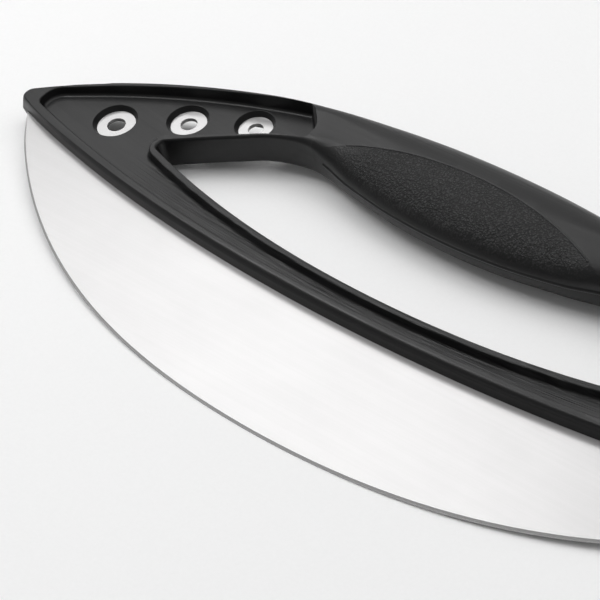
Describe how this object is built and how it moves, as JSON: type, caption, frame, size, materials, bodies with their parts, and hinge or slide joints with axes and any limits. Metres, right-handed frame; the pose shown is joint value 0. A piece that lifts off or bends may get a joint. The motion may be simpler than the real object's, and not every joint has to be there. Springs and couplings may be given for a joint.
{
  "type": "rocking pizza cutter",
  "caption": "Rocking pizza cutter: a long curved steel blade held in a black moulded frame handle, with a thick textured soft grip above a wide finger opening.",
  "frame": {"origin": "middle of the outline in plan, level with the lowest point of the grip when the cutter lies flat", "axes": "+X along the blade, +Y from the cutting edge up to the arch of the handle, +Z through the thickness"},
  "size_m": [0.3644, 0.1354, 0.0252],
  "materials": {
    "satin_steel": "satin, ground lengthwise",
    "black_plastic": "satin moulded black",
    "soft_grip": "fine leather-like grain"
  },
  "bodies": {
    "root": {"blade": "satin_steel", "handle_frame": "black_plastic", "soft_grip": "soft_grip"}
  },
  "joints": []
}
